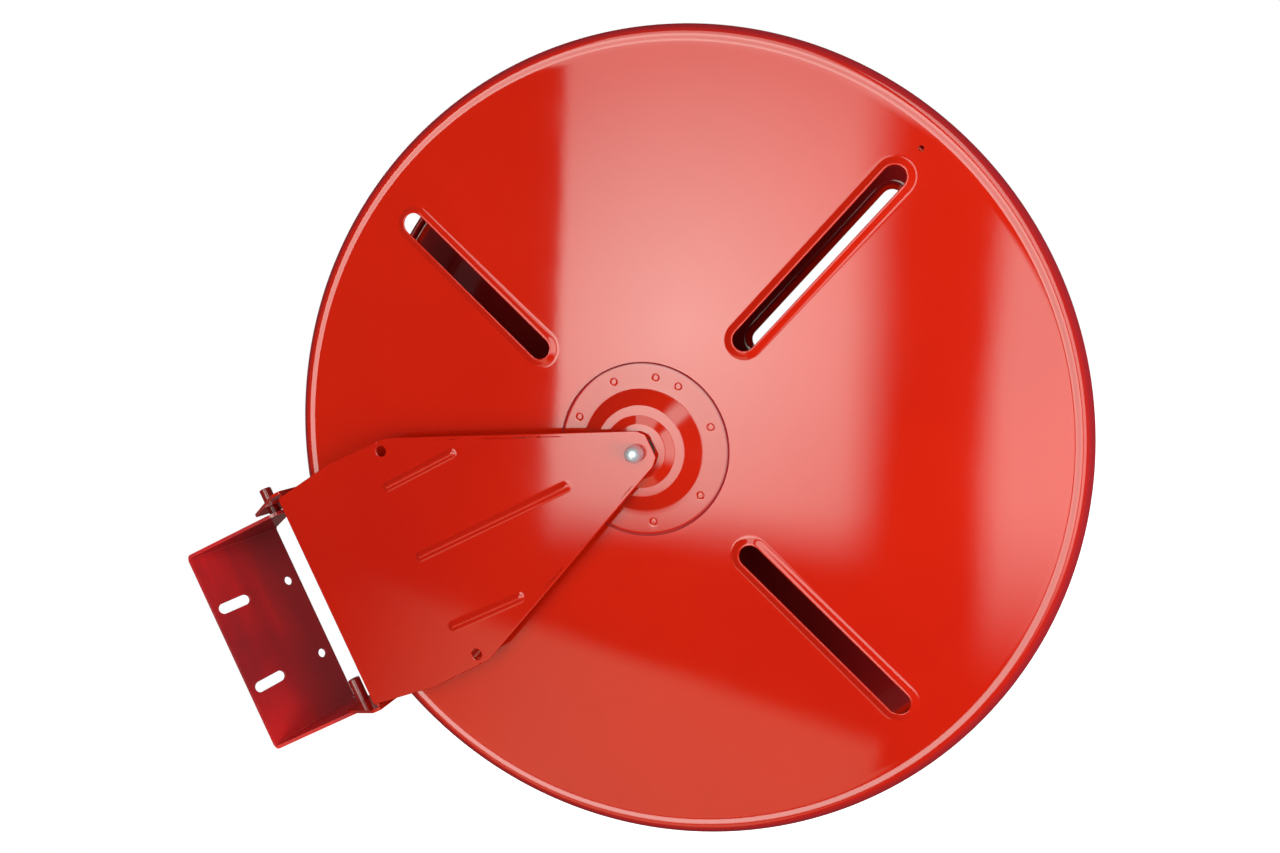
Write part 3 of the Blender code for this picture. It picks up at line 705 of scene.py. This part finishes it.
def make_axle_nut(material):
    low, high = size_along("axle_nut", AXLE)
    corner = NUT_ACROSS_FLATS / math.sqrt(3)
    bore = ((0.0, 0.0), AXLE_HOLE_RADIUS)
    nut = flat_plate("axle_nut", circle((0.0, 0.0), corner, 6), [bore], low, high)
    return place(soften(nut, 0.4 * MM, 3), FRONT, "swing_frame", material, "axle_nut")


# ---------------------------------------------------------------- wall bracket

def make_hinge_pin(node, material):
    low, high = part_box(node)
    edge = 1 * MM
    top = arc((PIN_RADIUS - edge, high.z - edge), edge, math.radians(90), 0.0, 6)
    profile = [(0.0, high.z)] + top + [(PIN_RADIUS, low.z), (0.0, low.z)]
    pin = lathe(node, profile, 64, closed=False)
    upright = Matrix.Translation((HINGE.x, HINGE.y, 0.0))
    return place(pin, upright, "wall_bracket", material, node)


def bracket_section(top, bottom, reach, sheet, bend):
    """Side view of the channel, as (x, z) points."""
    quarter = math.pi / 2
    points = [(reach, top)]
    points += arc((bend, top - bend), bend, quarter, 2 * quarter, 12)
    points += arc((bend, bottom + bend), bend, 2 * quarter, 3 * quarter, 12)
    points += [(reach, bottom), (reach, bottom + sheet)]
    points += arc((bend, bottom + bend), bend - sheet, 3 * quarter, 2 * quarter, 12)
    points += arc((bend, top - bend), bend - sheet, 2 * quarter, quarter, 12)
    return points + [(reach, top - sheet)]


def prism(name, outline, low, high, matrix):
    """Solid outline between two heights along local z, put in place by a matrix."""
    bm = bmesh.new()
    bm.faces.new([bm.verts.new((x, y, low)) for x, y in outline])
    raise_faces(bm, high - low)
    obj = new_object(name, bm, smooth=False)
    obj.data.transform(matrix)
    return obj


def boolean(obj, cutter, operation):
    modifier = obj.modifiers.new(cutter.name, "BOOLEAN")
    modifier.operation = operation
    modifier.solver = "EXACT"
    modifier.object = cutter


def bake_modifiers(obj, cutters):
    """Applies the object's modifiers and removes the cutters."""
    bpy.context.view_layer.update()
    depsgraph = bpy.context.evaluated_depsgraph_get()
    mesh = bpy.data.meshes.new_from_object(obj.evaluated_get(depsgraph))
    obj.modifiers.clear()
    obj.data = mesh
    for cutter in cutters:
        bpy.data.objects.remove(cutter, do_unlink=True)


def make_wall_bracket(material):
    """Channel whose flanges taper to round noses about the swing axis. It starts a little too
    large, and its plan cuts it to size."""
    low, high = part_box("wall_bracket")
    tip = BRACKET_TIP_RADIUS
    section = bracket_section(high.z, low.z, high.x + 3 * MM, BRACKET_SHEET, BRACKET_BEND)
    upright = Matrix.Rotation(math.pi / 2, 4, "X")
    bracket = prism("wall_bracket", section, low.y - 2 * MM, -low.y + 2 * MM, upright)
    leans = [math.atan2(half - tip, HINGE.x) for half in (-low.y, high.y)]
    plan = [(-1 * MM, low.y), (WALL_STRIP, low.y)]
    plan += arc((HINGE.x, 0.0), tip, leans[0] - math.pi / 2, math.pi / 2 - leans[1], 33)
    plan += [(WALL_STRIP, high.y), (-1 * MM, high.y)]
    through = (low.z - CUT_MARGIN, high.z + CUT_MARGIN, Matrix.Identity(4))
    outward = Matrix.Rotation(math.pi / 2, 4, "Z") @ Matrix.Rotation(math.pi / 2, 4, "X")
    cuts = [circle((HOLE_SIDE, sign * FIXING_HEIGHT), HOLE_RADIUS, 32) for sign in (1, -1)]
    for sign in (1, -1):
        start, end = [(side, sign * FIXING_HEIGHT) for side in SLOT_SIDES]
        cuts.append(stadium(start, end, SLOT_RADIUS, 30 * MM, 17))
    cutters = [prism("bracket_plan", plan, *through)]
    for index, outline in enumerate(cuts):
        cutters.append(prism("bracket_cut_" + str(index), outline, -CUT_MARGIN, CUT_MARGIN, outward))
    cutters.append(prism("bracket_bore", circle((HINGE.x, 0.0), PIN_HOLE_RADIUS, 40), *through))
    boolean(bracket, cutters[0], "INTERSECT")
    for cutter in cutters[1:]:
        boolean(bracket, cutter, "DIFFERENCE")
    bake_modifiers(bracket, cutters)
    bracket.data.shade_smooth()
    bracket.data.set_sharp_from_angle(angle=SMOOTH_ANGLE)
    return place(soften(bracket, 0.45 * MM, 3), Matrix.Identity(4), "wall_bracket", material,
                 "wall_bracket")


# ---------------------------------------------------------------- materials

def shader_of(name, roughness, metallic=0.0):
    """New material, with its node tree and its shader."""
    material = bpy.data.materials.new(name)
    material.use_nodes = True
    shader = material.node_tree.nodes["Principled BSDF"]
    shader.inputs["Metallic"].default_value = metallic
    shader.inputs["Roughness"].default_value = roughness
    shader.inputs["IOR"].default_value = 1.55
    return material, material.node_tree, shader


def add_node(tree, kind, **settings):
    node = tree.nodes.new(kind)
    for key, value in settings.items():
        setattr(node, key, value)
    return node


def coordinates(tree):
    """The piece's own coordinates, which at rest are those of the whole object, in metres."""
    return add_node(tree, "ShaderNodeTexCoord").outputs["Object"]


def noise(tree, scale, detail, stretch=(1.0, 1.0, 1.0)):
    """Factor socket of a noise in cycles per metre."""
    mapping = add_node(tree, "ShaderNodeMapping")
    mapping.inputs["Scale"].default_value = stretch
    tree.links.new(coordinates(tree), mapping.inputs["Vector"])
    texture = add_node(tree, "ShaderNodeTexNoise")
    texture.inputs["Scale"].default_value = scale
    texture.inputs["Detail"].default_value = detail
    tree.links.new(mapping.outputs["Vector"], texture.inputs["Vector"])
    return texture.outputs["Fac"]


def spread(tree, factor, low, high, low_value, high_value):
    """Maps a factor between low and high to a range of values."""
    node = add_node(tree, "ShaderNodeMapRange")
    node.inputs["From Min"].default_value = low
    node.inputs["From Max"].default_value = high
    node.inputs["To Min"].default_value = low_value
    node.inputs["To Max"].default_value = high_value
    tree.links.new(factor, node.inputs["Value"])
    return node.outputs["Result"]


def ramp(tree, value, start, end):
    """0 at start and 1 at end, smooth between."""
    node = add_node(tree, "ShaderNodeMapRange", interpolation_type="SMOOTHSTEP")
    node.inputs["From Min"].default_value = start
    node.inputs["From Max"].default_value = end
    tree.links.new(value, node.inputs["Value"])
    return node.outputs["Result"]


def times(tree, first, second):
    node = add_node(tree, "ShaderNodeMath", operation="MULTIPLY")
    tree.links.new(first, node.inputs[0])
    tree.links.new(second, node.inputs[1])
    return node.outputs["Value"]


def blend_colours(tree, factor, first, second):
    """First and second are colours or sockets."""
    node = add_node(tree, "ShaderNodeMix", data_type="RGBA")
    tree.links.new(factor, node.inputs[0])
    for socket, value in ((node.inputs[6], first), (node.inputs[7], second)):
        if isinstance(value, tuple):
            socket.default_value = (*value, 1.0)
        else:
            tree.links.new(value, socket)
    return node.outputs[2]


def bumps(tree, shader, layers):
    """Chains (height socket, depth in metres) layers of bump into the shader."""
    normal = None
    for height, depth in layers:
        bump = add_node(tree, "ShaderNodeBump")
        bump.inputs["Strength"].default_value = 1.0
        bump.inputs["Distance"].default_value = depth
        tree.links.new(height, bump.inputs["Height"])
        if normal is not None:
            tree.links.new(normal, bump.inputs["Normal"])
        normal = bump.outputs["Normal"]
    tree.links.new(normal, shader.inputs["Normal"])


def reach_from_hub(tree):
    """Distance from the reel's middle, in metres."""
    distance = add_node(tree, "ShaderNodeVectorMath", operation="DISTANCE")
    tree.links.new(coordinates(tree), distance.inputs[0])
    distance.inputs[1].default_value = HUB
    return distance.outputs["Value"]


def height_from_middle(tree):
    """Distance from the reel's middle plane, in metres."""
    offset = add_node(tree, "ShaderNodeVectorMath", operation="SUBTRACT")
    tree.links.new(coordinates(tree), offset.inputs[0])
    offset.inputs[1].default_value = HUB
    along = add_node(tree, "ShaderNodeVectorMath", operation="DOT_PRODUCT")
    tree.links.new(offset.outputs["Vector"], along.inputs[0])
    along.inputs[1].default_value = AXLE
    size = add_node(tree, "ShaderNodeMath", operation="ABSOLUTE")
    tree.links.new(along.outputs["Value"], size.inputs[0])
    return size.outputs["Value"]


def vary_roughness(tree, shader, factor, low, high):
    """Roughness between two values, over the middle range of a noise."""
    tree.links.new(spread(tree, factor, 0.3, 0.7, low, high), shader.inputs["Roughness"])


# Painted shade colours: the first darkens the rims' outer flanks and the hub caps' flange edges, the
# second the discs' inner faces
EDGE_SHADE_RED = (0.27, 0.011, 0.016)
INNER_SHADE_RED = (0.25, 0.008, 0.009)
INNER_FACE_LEVELS = (RIM_PLANE + 1.0 * MM, RIM_PLANE + 0.8 * MM)
INNER_FACE_REACHES = (275 * MM, 270 * MM)


def enamel(name, colour, deep, roughness, peel=1.0, streaks=0.0, shaded_edge=None, shade_across=None,
           shade_inside=False):
    """Glossy stoved enamel: soft clouds of thickness, dust, orange peel on gently wavy sheet. streaks
    is the strength of upright rolling marks. The colour turns to painted shade beyond shaded_edge, a
    (radius, height, width) from the reel's middle; painted shade darkens it sideways over shade_across, a
    pair of y coordinates; and with shade_inside painted shade darkens the discs' inner faces."""
    material, tree, shader = shader_of(name, roughness)
    clouds = noise(tree, 7.0, 4.0)
    paint = blend_colours(tree, spread(tree, clouds, 0.35, 0.7, 0.0, 1.0), colour, deep)
    specks = noise(tree, 420.0, 2.0)
    paint = blend_colours(tree, spread(tree, specks, 0.66, 0.74, 0.0, 0.25), paint, deep)
    if streaks:
        rolled = noise(tree, 60.0, 5.0, (1.0, 1.0, 0.09))
        paint = blend_colours(tree, spread(tree, rolled, 0.42, 0.72, 0.0, streaks), paint, deep)
    # Painted shade: the colour darkens across the piece along y, standing in for shade on the bracket
    # plate
    if shade_across:
        parts = add_node(tree, "ShaderNodeSeparateXYZ")
        tree.links.new(coordinates(tree), parts.inputs["Vector"])
        sideways = spread(tree, parts.outputs["Y"], *shade_across, 0.0, 0.8)
        paint = blend_colours(tree, sideways, paint, deep)
    # Painted shade: darker red beyond a reach from the hub, for the rims' dark outer flanks and the shadow
    # line round the hub caps' flanges
    if shaded_edge:
        radius, height, width = shaded_edge
        start = math.hypot(radius, height)
        edge_shade = ramp(tree, reach_from_hub(tree), start, start + width)
        paint = blend_colours(tree, edge_shade, paint, EDGE_SHADE_RED)
    # Painted shade: dark red on the discs' inner faces, which lie in shade between the two discs
    if shade_inside:
        inner_shade = ramp(tree, height_from_middle(tree), *INNER_FACE_LEVELS)
        inner_shade = times(tree, inner_shade, ramp(tree, reach_from_hub(tree), *INNER_FACE_REACHES))
        paint = blend_colours(tree, inner_shade, paint, INNER_SHADE_RED)
    tree.links.new(paint, shader.inputs["Base Color"])
    vary_roughness(tree, shader, noise(tree, 24.0, 3.0), roughness * 0.85, roughness * 1.25)
    waves = (noise(tree, 6.5, 1.0), 0.6 * MM)
    orange_peel = (noise(tree, 110.0, 2.0), 0.01 * MM * peel)
    grain = (noise(tree, 650.0, 2.0), 0.0012 * MM * peel)
    bumps(tree, shader, [waves, orange_peel, grain])
    return material


def plated(name, colour, roughness, grain_depth, metallic=1.0):
    """Plated or turned steel with faint stains and a fine grain."""
    material, tree, shader = shader_of(name, roughness, metallic)
    stains = noise(tree, 300.0, 4.0)
    tint = tuple(value * 0.82 for value in colour)
    stained = blend_colours(tree, spread(tree, stains, 0.4, 0.75, 0.0, 1.0), colour, tint)
    tree.links.new(stained, shader.inputs["Base Color"])
    vary_roughness(tree, shader, stains, roughness * 0.8, roughness * 1.4)
    bumps(tree, shader, [(noise(tree, 1500.0, 3.0), grain_depth)])
    return material


def moulded(name, colour, roughness):
    """Matt moulded plastic with a fine spark-eroded grain."""
    material, tree, shader = shader_of(name, roughness)
    grain = noise(tree, 1800.0, 3.0)
    tint = tuple(value * 1.6 for value in colour)
    mottled = blend_colours(tree, spread(tree, grain, 0.3, 0.7, 0.0, 1.0), colour, tint)
    tree.links.new(mottled, shader.inputs["Base Color"])
    vary_roughness(tree, shader, grain, roughness * 0.9, roughness * 1.1)
    bumps(tree, shader, [(grain, 0.008 * MM)])
    return material


# ---------------------------------------------------------------- camera, lights, floor

CAMERA_PLACE = (174.4 * MM, 2.2 * MM, RIM_PLANE + 528.4 * MM)     # in the front disc's axes
CAMERA_ROLL = math.radians(25.655)
CAMERA_TILT = math.radians(-1.354)
CAMERA_SWING = math.radians(-17.797)
STUDIO_DISTANCE = 1.5             # of the softboxes' plane, in front of the reel
STUDIO_LEAN = math.radians(27.5)
STUDIO_TIP = math.radians(3.5)


def make_camera():
    """Wide camera half a metre in front of the disc, turned towards the hinge side and rolled."""
    data = bpy.data.cameras.new("camera")
    data.sensor_width = 36.0
    data.lens = 22.5
    data.clip_start = 0.01
    data.clip_end = 60.0
    camera = bpy.data.objects.new("camera", data)
    bpy.context.scene.collection.objects.link(camera)
    turn = (Matrix.Rotation(CAMERA_ROLL, 4, "Z") @ Matrix.Rotation(CAMERA_TILT, 4, "X")
            @ Matrix.Rotation(CAMERA_SWING, 4, "Y")).transposed()
    camera.matrix_world = FRONT @ Matrix.Translation(CAMERA_PLACE) @ turn
    bpy.context.scene.camera = camera


def studio_axes():
    """Axes of the softboxes' plane, which leans like the camera."""
    up = Vector((math.sin(STUDIO_LEAN) * math.cos(STUDIO_TIP),
                 math.cos(STUDIO_LEAN) * math.cos(STUDIO_TIP), math.sin(STUDIO_TIP)))
    back = (Vector((0.0, 0.0, 1.0)) - up * up.z).normalized()
    return axes_matrix(Vector((0.0, 0.0, STUDIO_DISTANCE)), up.cross(back), up, back)


def area_light(name, shape, width, height, radiance):
    """Area light that the camera doesn't see."""
    data = bpy.data.lights.new(name, "AREA")
    data.shape = shape
    data.size = width
    data.size_y = height
    roundness = math.pi / 4 if shape == "DISK" else 1.0
    data.energy = radiance * math.pi * roundness * width * height
    light = bpy.data.objects.new(name, data)
    bpy.context.scene.collection.objects.link(light)
    light.visible_camera = False
    return light


def make_softbox(name, left, right, bottom, top, radiance, tint, fades, hot_spot=None, turn=0.0):
    """Soft light in the studio's leaning plane. fades are the dim margins at its left, right, bottom
    and top, as shares of its size; hot_spot is (x, y, reach, gain)."""
    light = area_light(name, "RECTANGLE", right - left, top - bottom, radiance)
    data = light.data
    data.color = tint
    centre = Vector(((left + right) / 2, (bottom + top) / 2, 0.0))
    facing = Matrix.Translation(centre) @ Matrix.Rotation(turn, 4, "Z")
    light.matrix_world = FRONT @ studio_axes() @ facing
    data.use_nodes = True
    tree = data.node_tree
    place_in_light = add_node(tree, "ShaderNodeNewGeometry").outputs["Parametric"]
    parts = add_node(tree, "ShaderNodeSeparateXYZ")
    tree.links.new(place_in_light, parts.inputs["Vector"])
    across, upward = parts.outputs["X"], parts.outputs["Y"]
    strength = ramp(tree, across, 0.0, fades[0])
    for share, start, end in ((across, 1.0, 1.0 - fades[1]), (upward, 0.0, fades[2]),
                              (upward, 1.0, 1.0 - fades[3])):
        strength = times(tree, strength, ramp(tree, share, start, end))
    if hot_spot:
        x, y, reach, gain = hot_spot
        mapping = add_node(tree, "ShaderNodeMapping")
        mapping.inputs["Scale"].default_value = (data.size / reach, data.size_y / reach, 0.0)
        mapping.inputs["Location"].default_value = ((left - x) / reach, (bottom - y) / reach, 0.0)
        tree.links.new(place_in_light, mapping.inputs["Vector"])
        ball = add_node(tree, "ShaderNodeTexGradient", gradient_type="SPHERICAL")
        tree.links.new(mapping.outputs["Vector"], ball.inputs["Vector"])
        strength = times(tree, strength, spread(tree, ball.outputs["Fac"], 0.0, 1.0, 1.0, gain))
    tree.links.new(strength, tree.nodes["Emission"].inputs["Strength"])


def make_round_light(name, place_in_disc, size, radiance, glossy):
    """Plain soft light aimed at the hub; without glossy it leaves no mark in the enamel."""
    light = area_light(name, "DISK", size, size, radiance)
    back = Vector(place_in_disc).normalized()
    side = UP.cross(back).normalized()
    light.matrix_world = FRONT @ axes_matrix(place_in_disc, side, back.cross(side), back)
    light.visible_glossy = glossy


def make_world(walls, backdrop):
    """White behind the object for the camera, dim warm walls for the light and the reflections."""
    world = bpy.data.worlds.new("studio")
    world.use_nodes = True
    tree = world.node_tree
    rays = add_node(tree, "ShaderNodeLightPath")
    colour = blend_colours(tree, rays.outputs["Is Camera Ray"], walls, backdrop)
    tree.links.new(colour, tree.nodes["Background"].inputs["Color"])
    bpy.context.scene.world = world


def make_floor(drop, size, front_edge):
    """White floor below the reel, bright enough to show no edge or shadow."""
    bm = bmesh.new()
    bmesh.ops.create_grid(bm, x_segments=1, y_segments=1, size=size / 2)
    floor = new_object("studio_floor", bm, smooth=False)
    flat = axes_matrix(HUB - UP * drop, ALONG, -AXLE, UP)
    floor.matrix_world = flat @ Matrix.Translation((0.0, size / 2 - front_edge, 0.0))
    material, tree, shader = shader_of("studio_floor_white", 0.9)
    mottle = blend_colours(tree, noise(tree, 2.0, 2.0), (0.9, 0.9, 0.9), (0.86, 0.86, 0.86))
    tree.links.new(mottle, shader.inputs["Base Color"])
    shader.inputs["Emission Color"].default_value = (1.0, 1.0, 1.0, 1.0)
    shader.inputs["Emission Strength"].default_value = 1.0
    floor.data.materials.append(material)
    floor.visible_glossy = False
    floor.visible_diffuse = False


# ---------------------------------------------------------------- assembly

# Painted shade on the discs: a darker outer flank on the rim, and darker inner faces
disc_red = enamel("disc_enamel", (0.52, 0.010, 0.0012), (0.48, 0.008, 0.0012), roughness=0.06,
                  shaded_edge=(273 * MM, RIM_PLANE, 6 * MM), shade_inside=True)
# Painted shade: a dark ring at the hub caps' flange edge
hub_red = enamel("hub_enamel", (0.48, 0.010, 0.0012), (0.44, 0.008, 0.0012), roughness=0.08,
                 shaded_edge=(CAP_RADIUS - 2.4 * MM, CAP_BASE, 1.0 * MM))
frame_red = enamel("frame_enamel", (0.49, 0.009, 0.0012), (0.45, 0.007, 0.0012), roughness=0.07)
# Painted shade: the bracket's red darkens across the plate
bracket_red = enamel("bracket_enamel", (0.80, 0.019, 0.020), (0.27, 0.020, 0.026), roughness=0.16,
                     peel=1.6, streaks=0.6, shade_across=(-20 * MM, 30 * MM))
pin_red = enamel("pin_enamel", (0.32, 0.010, 0.010), (0.18, 0.006, 0.008), roughness=0.12)
chrome = plated("bright_plating", (0.80, 0.83, 0.92), roughness=0.34, grain_depth=0.004 * MM,
                metallic=0.7)
steel = plated("plain_steel", (0.50, 0.50, 0.51), roughness=0.35, grain_depth=0.01 * MM)
nylon = moulded("bushing_nylon", (0.025, 0.025, 0.027), roughness=0.5)

make_wall_bracket(bracket_red)
for node in ("upper_hinge_pin", "lower_hinge_pin"):
    make_hinge_pin(node, pin_red)
for node in ("upper_hinge_ear", "lower_hinge_ear"):
    make_ear(node, frame_red)
make_spine(frame_red)
for side in SIDES:
    make_arm(side, frame_red)
    make_disc(side, disc_red)
    make_hub_cap(side, hub_red)
    make_bushing(side, nylon)
    make_washer(side + "_thrust_washer", steel)
make_core(hub_red)
make_axle_bolt(chrome)
make_axle_sleeve(steel)
make_washer("axle_washer", chrome)
make_axle_nut(chrome)

make_camera()
make_world(walls=(0.13, 0.075, 0.07), backdrop=(1.0, 1.0, 1.0))
make_floor(drop=0.45, size=6.0, front_edge=0.25)
make_softbox("key", left=-0.69, right=0.22, bottom=-0.52, top=1.4, radiance=3.1, tint=(0.80, 0.98, 0.90),
             fades=(0.04, 0.16, 0.1, 0.02), hot_spot=(-0.32, 0.10, 0.7, 2.6))
make_softbox("fill", left=0.38, right=1.15, bottom=-0.78, top=1.6, radiance=4.0, tint=(0.76, 1.0, 0.92),
             fades=(0.11, 0.15, 0.22, 0.1))
make_softbox("bounce", left=-1.5, right=0.12, bottom=-1.9, top=-0.72, radiance=1.1,
             tint=(1.0, 0.92, 0.62), fades=(0.5, 0.02, 0.1, 0.06), turn=math.radians(-12))
make_round_light("side", (0.70, -0.50, 0.55), size=0.5, radiance=9.0, glossy=False)
make_round_light("back", (-0.50, 0.90, -1.70), size=1.5, radiance=3.0, glossy=True)

bpy.context.scene.view_settings.view_transform = "Standard"
